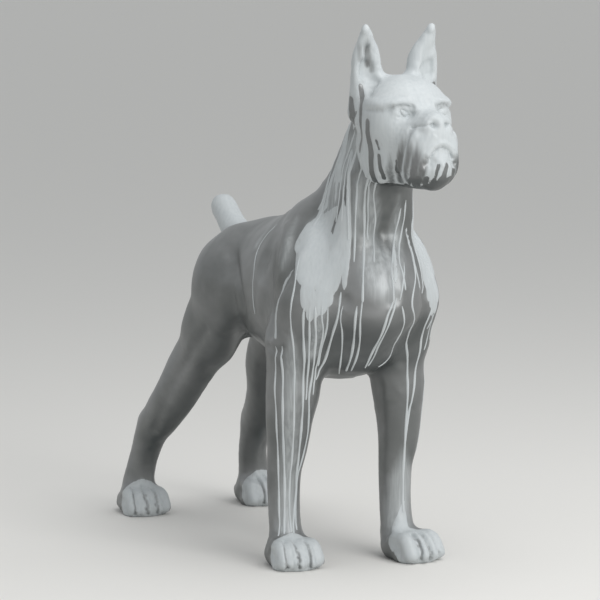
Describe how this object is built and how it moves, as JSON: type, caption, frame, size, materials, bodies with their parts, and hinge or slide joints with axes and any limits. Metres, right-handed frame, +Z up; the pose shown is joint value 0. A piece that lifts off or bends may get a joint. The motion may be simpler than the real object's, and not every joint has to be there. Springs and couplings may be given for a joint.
{
  "type": "dog sculpture",
  "caption": "Life-size standing dog sculpture in cast resin with upright cropped ears and a docked tail, lacquered silver-grey and poured over with pale grey paint.",
  "frame": {"origin": "floor level, under the middle of the figure's box", "axes": "+Z up; the dog faces -Y; +X is the dog's left"},
  "size_m": [0.314, 0.926, 0.8989],
  "materials": {
    "silver_grey_lacquer": "satin silver-grey lacquer over cast resin, with fine cloudy variation",
    "poured_pale_paint": "thick pale grey paint poured on and run down in threads, soft gloss"
  },
  "bodies": {
    "root": {"dog_figure": "silver_grey_lacquer"}
  },
  "joints": []
}
